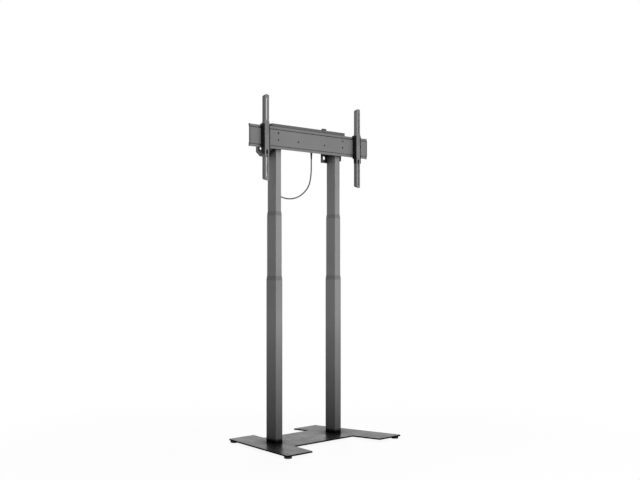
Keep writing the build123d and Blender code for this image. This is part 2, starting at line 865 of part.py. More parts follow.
# Hook arms
arm_sketch_y = arm_front_y - overrun
side_outline = (
    (arm_front_y, arm_bottom),
    (arm_front_y, arm_bottom + arm_length),
    (arm_front_y + arm_sheet, arm_bottom + arm_length),
    (arm_back_y, arm_bottom + arm_length - arm_end_slope),
    (arm_back_y, arm_bottom + arm_end_slope),
    (arm_front_y + arm_sheet, arm_bottom),
)
plate_front_y = cheek_front_y + hook_inset
plate_outline = (
    (plate_front_y, cheek_bottom + hook_inset),
    (plate_front_y, rail_top + shoulder_rise),
    (plate_front_y + shoulder_depth, rail_top + shoulder_rise),
    (hook_back_y, hook_seat_z + hook_rise),
    (tongue_back_y, hook_seat_z + hook_rise),
    (tongue_back_y, rail_top - tongue_length),
    (tongue_front_y, rail_top - tongue_length),
    (tongue_front_y, hook_seat_z),
    (hook_back_y, hook_seat_z),
    (hook_back_y, rail_bottom + hook_inset),
    (cheek_front_y + cheek_toe, rail_bottom - cheek_toe_slope + hook_inset),
    (cheek_front_y + cheek_toe, cheek_bottom + hook_inset),
)
cheek_outline = (
    (cheek_front_y, cheek_bottom),
    (cheek_front_y, cheek_top),
    (hook_back_y - cheek_slope_y, cheek_top),
    (hook_back_y, cheek_top - cheek_slope_z),
    (hook_back_y, rail_bottom),
    (cheek_front_y + cheek_toe, rail_bottom - cheek_toe_slope),
    (cheek_front_y + cheek_toe, cheek_bottom),
)
latch_front_y = arm_front_y + arm_sheet + side_gap
latch_top = rail_bottom - side_gap
latch_bottom = rail_bottom - latch_drop
nib_front_y = lip_back_y + latch_nib_gap
latch_outline = (
    (latch_front_y, latch_bottom),
    (latch_front_y, latch_top),
    (nib_front_y, latch_top),
    (nib_front_y, rail_bottom + latch_nib_height),
    (nib_front_y + latch_nib, rail_bottom + latch_nib_height),
    (nib_front_y + latch_nib, latch_top - latch_bar),
    (cheek_front_y + cheek_toe, latch_top - latch_bar),
    (cheek_front_y + cheek_toe, latch_bottom),
)
latch_width = arm_width - 2 * arm_sheet - 2 * side_gap
for side, hand in sides:
    x = hand * arm_x
    arm_front = Plane((x, arm_sketch_y, arm_centre_z), x_dir=(1, 0, 0), z_dir=(0, -1, 0))
    with BuildPart() as arm:
        with BuildSketch(Plane.XY.offset(arm_bottom)):
            with Locations((x, arm_front_y)):
                Rectangle(arm_width, arm_depth, align=(Align.CENTER, Align.MIN))
        extrude(amount=arm_length)
        fillet(arm.edges().filter_by(Axis.Z).group_by(Axis.Y)[0], arm_fold)
        with BuildSketch(Plane.XY.offset(arm_bottom)):
            with Locations((x, arm_front_y + arm_sheet)):
                Rectangle(arm_width - 2 * arm_sheet, arm_depth, align=(Align.CENTER, Align.MIN))
            with Locations((x, arm_front_y + arm_right_depth)):
                Rectangle(arm_width, arm_depth, align=(Align.MIN, Align.MIN))
        extrude(amount=arm_length, mode=Mode.SUBTRACT)
        with BuildSketch(Plane.YZ.offset(x - arm_width / 2)):
            with BuildLine():
                Polyline(*side_outline, close=True)
            make_face()
        extrude(amount=arm_width, mode=Mode.INTERSECT)
        with BuildSketch(arm_front):
            RectangleRounded(arm_width, arm_length, arm_end_corner)
        extrude(amount=-(arm_depth + 2 * overrun), mode=Mode.INTERSECT)
        with BuildSketch(arm_front):
            with Locations((0, slot_pitch / 2), (0, -slot_pitch / 2)):
                SlotOverall(slot_length, slot_width, rotation=90)
            with Locations((0, rail_bottom - window_drop - arm_centre_z)):
                Rectangle(window_width, window_length, align=(Align.CENTER, Align.MIN))
        extrude(amount=-(arm_sheet + 2 * overrun), mode=Mode.SUBTRACT)
        with BuildSketch(arm_front):
            with Locations((0, rail_top + recess_top_drop - arm_centre_z)):
                Rectangle(recess_width, recess_length, align=(Align.CENTER, Align.MAX))
        extrude(amount=-(recess_depth + overrun), mode=Mode.SUBTRACT)
    save(arm, f"{side}_arm")

    # Steel hook: a back plate across the channel and a hooked plate on each of its sides
    with BuildPart() as hook:
        with BuildSketch(Plane.XY.offset(hook_seat_z + hook_rise)):
            with Locations((x, arm_back_y)):
                Rectangle(arm_width, hook_sheet, align=(Align.CENTER, Align.MIN))
        extrude(amount=-hook_plate_drop)
        for plate_x in (x - arm_width / 2 - hook_sheet, x + arm_width / 2):
            with BuildSketch(Plane.YZ.offset(plate_x)):
                with BuildLine():
                    Polyline(*plate_outline, close=True)
                make_face()
            extrude(amount=hook_sheet)
    save(hook, f"{side}_hook")

    # Cheeks outside the hooked plates
    with BuildPart() as cheeks:
        for cheek_x in (x - arm_width / 2 - hook_sheet - cheek_thickness, x + arm_width / 2 + hook_sheet):
            with BuildSketch(Plane.YZ.offset(cheek_x)):
                with BuildLine():
                    Polyline(*cheek_outline, close=True)
                make_face()
            extrude(amount=cheek_thickness)
        outer_faces = cheeks.faces().sort_by(Axis.X)
        chamfer(outer_faces[0].edges() + outer_faces[-1].edges(), cheek_edge)
    save(cheeks, f"{side}_cheeks")

    # Latch that slides down inside the channel and hooks behind the rail's lower lip
    with BuildPart() as latch:
        with BuildSketch(Plane.YZ.offset(x - latch_width / 2)):
            with BuildLine():
                Polyline(*latch_outline, close=True)
            make_face()
        extrude(amount=latch_width)
    save(latch, f"{side}_latch")

# Cable glands under the housing floor, and the hanging cable between them
with BuildPart() as glands:
    with BuildSketch(Plane.XY.offset(upper_top)):
        with Locations((cable_route[0][0], cable_y), (cable_route[-1][0], cable_y)):
            Circle(gland_diameter / 2)
    extrude(amount=-gland_height)
save(glands, "cable_glands")

cable_points = [Vector(x, cable_y, upper_top - gland_height - drop) for x, drop in cable_route]
cable_runs = [b - a for a, b in zip(cable_points, cable_points[1:])]
cable_radii = []
for before, after in zip(cable_runs, cable_runs[1:]):
    half_turn = radians(before.get_angle(after) / 2)
    cable_radii.append(arc_run_share * min(before.length, after.length) / tan(half_turn))
with BuildPart() as cable:
    with BuildLine() as cable_path:
        FilletPolyline(*cable_points, radius=cable_radii)
    with BuildSketch(Plane(cable_path.line @ 0, z_dir=cable_path.line % 0)):
        Circle(cable_diameter / 2)
    sweep()
save(cable, "cable")
cable_section = pi * cable_diameter ** 2 / 4
cable_length = sum(edge.length for edge in cable_path.edges())
print("cable runs", [round(run.length, 1) for run in cable_runs])
print("cable radii", [round(radius, 1) for radius in cable_radii])
print("cable length", round(cable_length, 1))
print("cable volume over section times length", cable.part.volume / cable_section / cable_length)
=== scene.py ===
from math import radians

import bmesh
import bpy
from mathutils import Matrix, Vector


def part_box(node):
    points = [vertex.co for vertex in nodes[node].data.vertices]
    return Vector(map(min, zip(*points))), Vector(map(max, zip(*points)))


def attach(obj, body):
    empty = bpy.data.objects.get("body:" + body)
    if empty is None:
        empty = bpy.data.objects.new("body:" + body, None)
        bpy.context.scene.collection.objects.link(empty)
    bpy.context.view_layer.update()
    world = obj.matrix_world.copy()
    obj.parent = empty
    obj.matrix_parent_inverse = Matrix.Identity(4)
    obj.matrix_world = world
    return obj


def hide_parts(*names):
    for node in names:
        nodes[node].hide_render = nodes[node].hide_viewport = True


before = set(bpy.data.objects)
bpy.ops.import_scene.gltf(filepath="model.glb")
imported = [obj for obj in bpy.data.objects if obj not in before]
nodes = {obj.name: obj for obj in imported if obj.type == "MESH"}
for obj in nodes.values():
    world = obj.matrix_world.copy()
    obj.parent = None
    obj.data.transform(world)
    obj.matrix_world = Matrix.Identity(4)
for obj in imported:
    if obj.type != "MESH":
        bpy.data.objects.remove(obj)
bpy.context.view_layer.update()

hands = {"left": -1, "right": 1}
print("frame loaded with", len(nodes), "nodes")


# Lowest and highest corner of a node
def cornersOf(name):
    return [Vector(corner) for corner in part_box(name)]


def centreOf(name):
    low, high = cornersOf(name)
    return (low + high) / 2


def linkObject(name, data):
    piece = bpy.data.objects.new(name, data)
    bpy.context.scene.collection.objects.link(piece)
    return piece


# Camera: level, with the horizon a little below the middle. Rise, sway and the frame's width are in pixels
view = {
    "place": (-3.9085, -3.997, 0.997),
    "tilt": 90,
    "turn": -45,
    "lens": 55.3,
    "sensorWidth": 36,
    "frameWidth": 640,
    "rise": 26,
    "sway": -0.3,
}
cameraData = bpy.data.cameras.new("studioCamera")
cameraData.lens = view["lens"]
cameraData.sensor_width = view["sensorWidth"]
cameraData.shift_x = view["sway"] / view["frameWidth"]
cameraData.shift_y = view["rise"] / view["frameWidth"]
cameraObject = linkObject("studioCamera", cameraData)
cameraObject.location = view["place"]
cameraObject.rotation_euler = (radians(view["tilt"]), 0, radians(view["turn"]))
bpy.context.scene.camera = cameraObject
bpy.context.scene.view_settings.view_transform = "Standard"

# Cable: hangs in one upright plane behind the columns, as places along X and drops below the glands
cable = {
    "diameter": 0.008,
    "length": 0.738,
    "steps": 12,
    "roundness": 4,
    "route": (
        (0.1045, 0),
        (0.1045, 0.048),
        (0.1035, 0.118),
        (0.0875, 0.1865),
        (0.0355, 0.237),
        (-0.028, 0.265),
        (-0.100, 0.270),
        (-0.168, 0.250),
        (-0.219, 0.200),
        (-0.240, 0.132),
        (-0.236, 0.063),
        (-0.236, 0),
    ),
}
glandLow, glandHigh = cornersOf("cable_glands")
glandCentre = centreOf("cable_glands")


# The points carry the thickness, so that the curve's bounds stay close to the cable
def makeCable():
    data = bpy.data.curves.new("loopCable", "CURVE")
    data.dimensions = "3D"
    data.resolution_u = cable["steps"]
    data.bevel_depth = 1
    data.bevel_resolution = cable["roundness"]
    data.use_fill_caps = True
    spline = data.splines.new("NURBS")
    spline.points.add(len(cable["route"]) - 1)
    for point, (x, drop) in zip(spline.points, cable["route"]):
        point.co = (x, glandCentre.y, glandLow.z - drop, 1)
        point.radius = cable["diameter"] / 2
    spline.order_u = 3
    spline.use_endpoint_u = True
    piece = linkObject("loopCable", data)
    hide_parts("cable")
    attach(piece, "carriage")
    return piece


loopCable = makeCable()
print("camera and cable placed")


# A socket that takes part in sums, each of which adds its own Math node
class Wire:
    def __init__(self, net, socket):
        self.net = net
        self.socket = socket

    def maths(self, operation, *values):
        return self.net.add("ShaderNodeMath", {"operation": operation}, values)

    def __add__(self, other):
        return self.maths("ADD", self, other)

    def __radd__(self, other):
        return self.maths("ADD", other, self)

    def __sub__(self, other):
        return self.maths("SUBTRACT", self, other)

    def __rsub__(self, other):
        return self.maths("SUBTRACT", other, self)

    def __mul__(self, other):
        return self.maths("MULTIPLY", self, other)

    def __rmul__(self, other):
        return self.maths("MULTIPLY", other, self)

    def __truediv__(self, other):
        return self.maths("DIVIDE", self, other)

    def __rtruediv__(self, other):
        return self.maths("DIVIDE", other, self)

    def __neg__(self):
        return self.maths("MULTIPLY", self, -1)


# A node tree, filled one node at a time
class Net:
    def __init__(self, tree):
        self.tree = tree
        self.tree.nodes.clear()

    # Settings come first, then the value, the link or the list of links of each socket
    def add(self, kind, settings, values, output=0):
        node = self.tree.nodes.new(kind)
        for key, value in settings.items():
            setattr(node, key, value)
        pairs = values.items() if isinstance(values, dict) else enumerate(values)
        for key, value in pairs:
            for single in value if isinstance(value, list) else [value]:
                if isinstance(single, Wire):
                    self.tree.links.new(single.socket, node.inputs[key])
                else:
                    node.inputs[key].default_value = single
        return Wire(self, node.outputs[output]) if node.outputs else None

    def vector(self, x, y, z):
        return self.add("ShaderNodeCombineXYZ", {}, (x, y, z))

    def ramp(self, value, fromLow, fromHigh, low, high):
        return self.add("ShaderNodeMapRange", {}, (value, fromLow, fromHigh, low, high))

    # 1 for one kind of ray, such as Is Camera Ray, and 0 for the others
    def rays(self, kind):
        return self.add("ShaderNodeLightPath", {}, {}, kind)


# What all finishes share: the samples of a corner, the grey of full shade and the usual shine
shading = {"samples": 8, "black": 0.003, "shine": 0.5}


def grey(level, warm=0.0):
    return (level * (1 + warm), level, level * (1 - warm), 1)


# A material with its textures on object coordinates
class Finish(Net):
    def __init__(self, name):
        self.material = bpy.data.materials.new(name)
        self.material.use_nodes = True
        super().__init__(self.material.node_tree)
        self.coords = self.add("ShaderNodeTexCoord", {}, {}, "Object")

    def stretched(self, scale):
        return self.add("ShaderNodeMapping", {}, {"Vector": self.coords, "Scale": scale})

    def noise(self, scale, detail, vector=None):
        values = {"Vector": vector or self.coords, "Scale": scale, "Detail": detail}
        return self.add("ShaderNodeTexNoise", {}, values)

    def grains(self, scale):
        return self.add("ShaderNodeTexVoronoi", {}, {"Vector": self.coords, "Scale": scale})

    # Inputs 6 and 7 of a Mix node are its two colours, and output 2 is the mixed one
    def mixed(self, factor, first, second):
        values = {0: factor, 6: first, 7: second}
        return self.add("ShaderNodeMix", {"data_type": "RGBA"}, values, 2)

    # 1 in the open and less in corners, within a reach in metres
    def openness(self, reach):
        settings = {"samples": shading["samples"]}
        return self.add("ShaderNodeAmbientOcclusion", settings, {"Distance": reach}, 1)

    def height(self):
        return self.add("ShaderNodeSeparateXYZ", {}, {0: self.coords}, 2)

    # 1 within half a width of a level along a value
    def band(self, value, level, width):
        return self.add("ShaderNodeMath", {"operation": "COMPARE"}, (value, level, width / 2))

    def bumped(self, height, strength, distance):
        values = {"Height": height, "Strength": strength, "Distance": distance}
        return self.add("ShaderNodeBump", {}, values)

    # Where a painted shade is given, the surface fades to matt black as that nears 1
    def surface(self, shade=None, **values):
        named = {key.replace("_", " "): value for key, value in values.items()}
        shader = self.add("ShaderNodeBsdfPrincipled", {}, named)
        if shade:
            black = self.add("ShaderNodeBsdfDiffuse", {}, {"Color": grey(shading["black"])})
            shader = self.add("ShaderNodeMixShader", {}, {0: shade, 1: shader, 2: black})
        self.add("ShaderNodeOutputMaterial", {}, {"Surface": shader})
        return self.material


railLow, railHigh = cornersOf("rail")
plateTop = cornersOf("base_plate")[1].z

# Powder coat: a fine stippled skin over a slow drift in tone, with painted shade in corners
# A crease shade is a dark line of painted shade along a level, as (level, width, depth)
# A shade ramp is painted shade, deepest at its bottom and gone at its top, as (bottom, top, depth)
powder = {
    "column": {"dark": 0.125, "light": 0.150, "rough": 0.47, "reach": 0.07, "corner": 0.75},
    "foot": {
        "dark": 0.125,
        "light": 0.150,
        "rough": 0.47,
        "reach": 0.03,
        "corner": 0.8,
        # Painted shade: darker towards the column's foot, and darker still just above the plate
        "shadeRamps": ((0.05, 0.70, 0.58), (0.02, 0.05, 0.38)),
    },
    "collar": {"dark": 0.085, "light": 0.105, "rough": 0.52, "reach": 0.03, "corner": 0.5},
    "base": {
        "dark": 0.004,
        "light": 0.007,
        "rough": 0.29,
        "shine": 0.28,
        "reach": 0.12,
        "corner": 0.95,
        # Painted shade on the plate's sides, just below its top face
        "shadeRamps": ((plateTop - 0.0009, plateTop - 0.0004, 0.85),),
    },
    # Painted shade: the rail, cover and arm coats are darker copies of the columns' coat, set to how those
    # parts are lit
    "rail": {
        "dark": 0.082,
        "light": 0.100,
        "rough": 0.43,
        "reach": 0.02,
        "corner": 0.5,
        # Painted shade: dark lines along the rail's two creases
        "creaseShades": ((railHigh.z - 0.0152, 0.0040, 0.80), (railLow.z + 0.0156, 0.0030, 0.50)),
    },
    "cover": {"dark": 0.055, "light": 0.070, "rough": 0.50, "reach": 0.03, "corner": 0.5},
    "arm": {"dark": 0.085, "light": 0.105, "rough": 0.45, "reach": 0.02, "corner": 0.6},
    "bracket": {"dark": 0.075, "light": 0.095, "rough": 0.50, "reach": 0.04, "corner": 0.97},
}

# What all powder coats share, where a noise is its scale and its detail
powderSkin = {
    "drift": (3.0, 3),
    "speck": (900, 2),
    "stipple": (420, 3),
    "rub": (14, 4),
    "driftShare": 0.7,
    "speckShare": 0.3,
    "toneSpan": (0.35, 0.65),
    "openSpan": (0.5, 0.95),
    "rubSpan": (0.4, 0.7),
    "rubDepth": 0.04,
    "speckHeight": 0.5,
    "strength": 0.22,
    "depth": 0.0004,
}


def powderCoat(name):
    look = powder[name]
    skin = powderSkin
    net = Finish(name + "PowderCoat")
    drift = net.noise(*skin["drift"])
    speck = net.noise(*skin["speck"])
    stipple = net.noise(*skin["stipple"])
    blend = drift * skin["driftShare"] + speck * skin["speckShare"]
    tone = net.ramp(blend, *skin["toneSpan"], 0, 1)
    colour = net.mixed(tone, grey(look["dark"]), grey(look["light"]))
    # Painted shade: the coat fades towards matt black in corners and between parts, where ambient
    # occlusion finds them
    shade = net.ramp(net.openness(look["reach"]), *skin["openSpan"], look["corner"], 0)
    # Painted shade along the rail's creases
    for level, width, depth in look.get("creaseShades", ()):
        shade = net.band(net.height(), level, width) * depth + shade
    # Painted shade: darker towards the bottom of each ramp
    for bottom, top, depth in look.get("shadeRamps", ()):
        shade = net.ramp(net.height(), bottom, top, depth, 0) + shade
    rub = net.noise(*skin["rub"])
    rubbed = net.ramp(rub, *skin["rubSpan"], skin["rubDepth"], -skin["rubDepth"])
    return net.surface(
        shade,
        Base_Color=colour,
        Roughness=rubbed + look["rough"],
        Specular_IOR_Level=look.get("shine", shading["shine"]),
        Normal=net.bumped(stipple + speck * skin["speckHeight"], skin["strength"], skin["depth"]),
    )


# Moulded plastic: small leathery grain with faint shiny patches
moulded = {
    "cheek": {"level": 0.004, "rough": 0.55, "grain": 1100, "depth": 0.00015, "shine": 0.2},
    "cap": {"level": 0.045, "rough": 0.45, "grain": 900, "depth": 0.00015},
    "receiver": {"level": 0.060, "rough": 0.40, "grain": 1000, "depth": 0.0001},
    "foot": {"level": 0.012, "rough": 0.60, "grain": 700, "depth": 0.0003},
    "glide": {"level": 0.62, "rough": 0.35, "grain": 500, "depth": 0.0001},
    "unit": {"level": 0.03, "rough": 0.45, "grain": 800, "depth": 0.0002},
}
mouldedSkin = {
    "patch": (30, 3),
    "fleckDetail": 2,
    "darker": 0.85,
    "lighter": 1.2,
    "roughSpread": 0.16,
    "strength": 0.25,
}


def mouldedPlastic(name):
    look = moulded[name]
    skin = mouldedSkin
    net = Finish(name + "Plastic")
    grain = net.grains(look["grain"])
    patch = net.noise(*skin["patch"])
    fleck = net.noise(look["grain"] / 2, skin["fleckDetail"])
    darker = grey(look["level"] * skin["darker"])
    lighter = grey(look["level"] * skin["lighter"])
    return net.surface(
        Base_Color=net.mixed(fleck, darker, lighter),
        Roughness=patch * skin["roughSpread"] + (look["rough"] - skin["roughSpread"] / 2),
        Specular_IOR_Level=look.get("shine", shading["shine"]),
        Normal=net.bumped(grain, skin["strength"], look["depth"]),
    )


# Bare metal: fine lines, drawn out along one axis where its scale is less, with soft stains
metals = {
    "plain": {"level": 0.42, "warm": 0.00, "rough": 0.34, "lines": (900, 900, 12)},
    "zinc": {"level": 0.55, "warm": 0.03, "rough": 0.30, "lines": (300, 300, 300)},
    "cast": {"level": 0.35, "warm": 0.00, "rough": 0.55, "lines": (260, 260, 260)},
    "bronze": {"level": 0.40, "warm": 0.45, "rough": 0.32, "lines": (800, 800, 40)},
    "blackened": {"level": 0.020, "warm": 0.00, "rough": 0.40, "lines": (500, 500, 500)},
    "motor": {"level": 0.045, "warm": 0.00, "rough": 0.38, "lines": (20, 700, 700)},
}
metalSkin = {
    "lineDetail": 3,
    "stain": (25, 4),
    "lineShare": 0.6,
    "stainShare": 0.4,
    "darker": 0.78,
    "lighter": 1.18,
    "metallic": 0.9,
    "roughSpread": 0.2,
    "strength": 0.12,
    "depth": 0.0002,
}


def bareMetal(name):
    look = metals[name]
    skin = metalSkin
    net = Finish(name + "Metal")
    lines = net.noise(1, skin["lineDetail"], net.stretched(look["lines"]))
    stain = net.noise(*skin["stain"])
    blend = lines * skin["lineShare"] + stain * skin["stainShare"]
    darker = grey(look["level"] * skin["darker"], look["warm"])
    lighter = grey(look["level"] * skin["lighter"], look["warm"])
    return net.surface(
        Base_Color=net.mixed(blend, darker, lighter),
        Metallic=skin["metallic"],
        Roughness=stain * skin["roughSpread"] + (look["rough"] - skin["roughSpread"] / 2),
        Normal=net.bumped(lines, skin["strength"], skin["depth"]),
    )


# Cable jacket: smooth matt skin with slight waves from its cores
jacket = {
    "waves": (160, 2),
    "dust": (700, 2),
    "dark": 0.040,
    "light": 0.060,
    "rough": 0.42,
    "roughSpread": 0.12,
    "strength": 0.1,
    "depth": 0.0004,
}


def cableJacket():
    net = Finish("cableJacket")
    waves = net.noise(*jacket["waves"])
    dust = net.noise(*jacket["dust"])
    return net.surface(
        Base_Color=net.mixed(dust, grey(jacket["dark"]), grey(jacket["light"])),
        Roughness=dust * jacket["roughSpread"] + jacket["rough"],
        Normal=net.bumped(waves, jacket["strength"], jacket["depth"]),
    )


# Receiver pane: dark gloss that lets infrared through
pane = {"smear": (80, 3), "dark": 0.006, "light": 0.012, "rough": 0.06, "roughSpread": 0.1, "coat": 0.5}


def receiverPane():
    net = Finish("receiverPane")
    smear = net.noise(*pane["smear"])
    return net.surface(
        Base_Color=net.mixed(smear, grey(pane["dark"]), grey(pane["light"])),
        Roughness=smear * pane["roughSpread"] + pane["rough"],
        Coat_Weight=pane["coat"],
    )


coats = {name: powderCoat(name) for name in powder}
plastics = {name: mouldedPlastic(name) for name in moulded}
steels = {name: bareMetal(name) for name in metals}
jacketFinish = cableJacket()
paneFinish = receiverPane()
print("finishes mixed")

finishOf = {
    "base_plate": coats["base"],
    "foot_weld_nuts": steels["zinc"],
    "column_foot_blocks": steels["plain"],
    "column_foot_screws": steels["blackened"],
    "nut_posts": steels["plain"],
    "fixed_nuts": steels["bronze"],
    "column_head_plates": steels["plain"],
    "column_head_screws": steels["zinc"],
    "bracket_screws": steels["blackened"],
    "housing_floor": coats["cover"],
    "housing_cover": coats["cover"],
    "cross_beam": steels["plain"],
    "control_unit": plastics["unit"],
    "receiver_block": plastics["receiver"],
    "rail": coats["rail"],
    "rail_end_caps": plastics["cap"],
    "rail_spacers": steels["zinc"],
    "rail_screws": steels["blackened"],
    "rail_nuts": steels["zinc"],
    "cable_glands": plastics["cheek"],
    "cable": jacketFinish,
}
sideFinishOf = {
    "lower_tube": coats["foot"],
    "middle_tube": coats["column"],
    "upper_tube": coats["column"],
    "lower_collar": coats["collar"],
    "middle_collar": coats["collar"],
    "middle_glides": plastics["glide"],
    "upper_glides": plastics["glide"],
    "screw_bearing": plastics["glide"],
    "hollow_screw": steels["plain"],
    "drive_screw": steels["plain"],
    "gearbox": steels["cast"],
    "motor": steels["motor"],
    "head_bracket": coats["bracket"],
    "arm": coats["arm"],
    "hook": coats["arm"],
    "cheeks": plastics["cheek"],
    "latch": plastics["cheek"],
}
levellingFeet = [name for name in nodes if name.endswith("_foot")]
for name in levellingFeet:
    finishOf[name] = plastics["foot"]
for side in hands:
    for part, material in sideFinishOf.items():
        finishOf[f"{side}_{part}"] = material
for name, material in finishOf.items():
    data = nodes[name].data
    data.materials.clear()
    data.materials.append(material)
loopCable.data.materials.append(jacketFinish)
print("nodes coated:", len(finishOf))


# A geometry-node tree that sets one small shape at each given place; its named inputs are the sizes
class Pattern(Net):
    def __init__(self, name, sizes):
        super().__init__(bpy.data.node_groups.new(name, "GeometryNodeTree"))
        face = self.tree.interface
        face.new_socket("Places", in_out="INPUT", socket_type="NodeSocketGeometry")
        for label in sizes:
            face.new_socket(label, in_out="INPUT", socket_type="NodeSocketFloat")
        face.new_socket("Material", in_out="INPUT", socket_type="NodeSocketMaterial")
        face.new_socket("Pieces", in_out="OUTPUT", socket_type="NodeSocketGeometry")
        self.given = self.tree.nodes.new("NodeGroupInput")
        self.sizes = sizes

    def taken(self, label):
        return Wire(self, self.given.outputs[label])

    def moved(self, shape, shift, scale=(1, 1, 1)):
        values = {"Geometry": shape, "Translation": shift, "Scale": scale}
        return self.add("GeometryNodeTransform", {}, values)

    def raised(self, shape, rise):
        return self.moved(shape, self.vector(0, 0, rise))

    def cylinder(self, sides, radius, depth):
        values = {"Vertices": sides, "Radius": radius, "Depth": depth}
        return self.add("GeometryNodeMeshCylinder", {}, values)

    # A cone that starts at height 0
    def cone(self, sides, bottom, top, depth):
        values = {"Vertices": sides, "Radius Bottom": bottom, "Radius Top": top, "Depth": depth}
        return self.add("GeometryNodeMeshCone", {}, values)

    def circle(self, sides, radius):
        values = {"Resolution": sides, "Radius": radius}
        return self.add("GeometryNodeCurvePrimitiveCircle", {}, values)

    # A round rim as thick as a cord
    def rim(self, radius, cordRadius, sides=32, cordSides=8):
        loop = self.circle(sides, radius)
        section = self.circle(cordSides, cordRadius)
        return self.add("GeometryNodeCurveToMesh", {}, {"Curve": loop, "Profile Curve": section})

    def repeated(self, shape, count, step, scale=(1, 1, 1)):
        line = self.add("GeometryNodeMeshLine", {}, {"Count": count, "Offset": step})
        values = {"Points": line, "Instance": shape, "Scale": scale}
        return self.add("GeometryNodeInstanceOnPoints", {}, values)

    def joined(self, *shapes):
        return self.add("GeometryNodeJoinGeometry", {}, {"Geometry": list(reversed(shapes))})

    def close(self, shape, turn=(0, 0, 0)):
        values = {"Points": self.taken("Places"), "Instance": shape, "Rotation": turn}
        placed = self.add("GeometryNodeInstanceOnPoints", {}, values)
        real = self.add("GeometryNodeRealizeInstances", {}, {"Geometry": placed})
        values = {"Geometry": real, "Material": self.taken("Material")}
        coated = self.add("GeometryNodeSetMaterial", {}, values)
        self.add("NodeGroupOutput", {}, {"Pieces": coated})

    # Runs the tree at the places and keeps the result as one plain mesh on a body
    def realised(self, name, places, material, body, slot):
        data = bpy.data.meshes.new(name + "Places")
        data.from_pydata(places, [], [])
        carrier = linkObject(name + "Places", data)
        modifier = carrier.modifiers.new("pattern", "NODES")
        modifier.node_group = self.tree
        given = {**self.sizes, "Material": material}
        for item in self.tree.interface.items_tree:
            if item.name in given:
                modifier[item.identifier] = given[item.name]
        graph = bpy.context.evaluated_depsgraph_get()
        plain = bpy.data.meshes.new_from_object(carrier.evaluated_get(graph))
        bpy.data.objects.remove(carrier)
        piece = linkObject(name, plain)
        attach(piece, body)
        return piece


# Rail screws: flat heads level with the rail's face, each with a hexagon socket
railScrew = {
    "sizes": {
        "Head Width": 0.0110,
        "Shank Width": 0.0060,
        "Head Depth": 0.0025,
        "Socket Width": 0.0046,
        "Socket Depth": 0.0018,
        "Shank Length": 0.0235,
    },
    "headSides": 32,
    "shankSides": 24,
    "socketSides": 6,
    "turn": 90,
    "outerX": 0.255,
    "outerDrops": (0.0325, 0.0705),
    "innerX": 0.104,
    "innerDrop": 0.0695,
}


def makeRailScrews():
    net = Pattern("socketScrew", railScrew["sizes"])
    headDepth = net.taken("Head Depth")
    socketDepth = net.taken("Socket Depth")
    shankLength = net.taken("Shank Length")
    shankRadius = net.taken("Shank Width") / 2
    cone = net.cone(railScrew["headSides"], shankRadius, net.taken("Head Width") / 2, headDepth)
    cone = net.raised(cone, -headDepth)
    socket = net.cylinder(railScrew["socketSides"], net.taken("Socket Width") / 2, socketDepth * 2)
    meshes = {"Mesh 1": cone, "Mesh 2": socket}
    head = net.add("GeometryNodeMeshBoolean", {"operation": "DIFFERENCE"}, meshes)
    shank = net.cylinder(railScrew["shankSides"], shankRadius, shankLength)
    shank = net.raised(shank, -headDepth - shankLength / 2)
    net.close(net.joined(head, shank), (radians(railScrew["turn"]), 0, 0))
    places = []
    for hand in hands.values():
        for drop in railScrew["outerDrops"]:
            places.append((hand * railScrew["outerX"], railLow.y, railHigh.z - drop))
        places.append((hand * railScrew["innerX"], railLow.y, railHigh.z - railScrew["innerDrop"]))
    piece = net.realised("socketScrews", places, steels["blackened"], "carriage", "black_steel")
    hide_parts("rail_screws")


# Cable glands: a hexagon nut under the floor, a collar, and a tapered sleeve with ribs down the cable
gland = {
    "sizes": {
        "Nut Width": 0.0150,
        "Nut Height": 0.0060,
        "Collar Width": 0.0116,
        "Collar Height": 0.0060,
        "Sleeve Top": 0.0108,
        "Sleeve End": 0.0086,
        "Sleeve Length": 0.0280,
        "Rib Thickness": 0.0012,
    },
    "nutSides": 6,
    "roundSides": 32,
    "ribCount": 7,
}


def makeGlands():
    net = Pattern("ribbedGland", gland["sizes"])
    nutHeight = net.taken("Nut Height")
    collarHeight = net.taken("Collar Height")
    sleeveTop = net.taken("Sleeve Top")
    sleeveEnd = net.taken("Sleeve End")
    sleeveLength = net.taken("Sleeve Length")
    ribThickness = net.taken("Rib Thickness")
    down = -(nutHeight + collarHeight)
    nut = net.cylinder(gland["nutSides"], net.taken("Nut Width") / 2, nutHeight)
    nut = net.raised(nut, -nutHeight / 2)
    collar = net.cylinder(gland["roundSides"], net.taken("Collar Width") / 2, collarHeight)
    collar = net.raised(collar, -nutHeight - collarHeight / 2)
    sleeve = net.cone(gland["roundSides"], sleeveEnd / 2, sleeveTop / 2, sleeveLength)
    sleeve = net.raised(sleeve, down - sleeveLength)
    steps = gland["ribCount"] - 1
    index = net.add("GeometryNodeInputIndex", {}, {})
    shrink = (sleeveTop - sleeveEnd) / sleeveTop / steps
    ribs = net.repeated(
        net.rim(sleeveTop / 2, ribThickness / 2),
        gland["ribCount"],
        net.vector(0, 0, -(sleeveLength - ribThickness) / steps),
        1 - index * shrink,
    )
    ribs = net.raised(ribs, down - ribThickness / 2)
    net.close(net.joined(nut, collar, sleeve, ribs))
    ends = (cable["route"][0][0], cable["route"][-1][0])
    places = [(x, glandCentre.y, glandHigh.z) for x in ends]
    piece = net.realised("ribbedGlands", places, plastics["cheek"], "carriage", "black_plastic")
    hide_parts("cable_glands")


# Grip ribs round the four foot pads
padRibs = {
    "sizes": {"Rib Width": 0.0014, "Rib Pitch": 0.0027, "Pad Width": 0.0412},
    "count": 3,
    "rise": 0.0030,
}


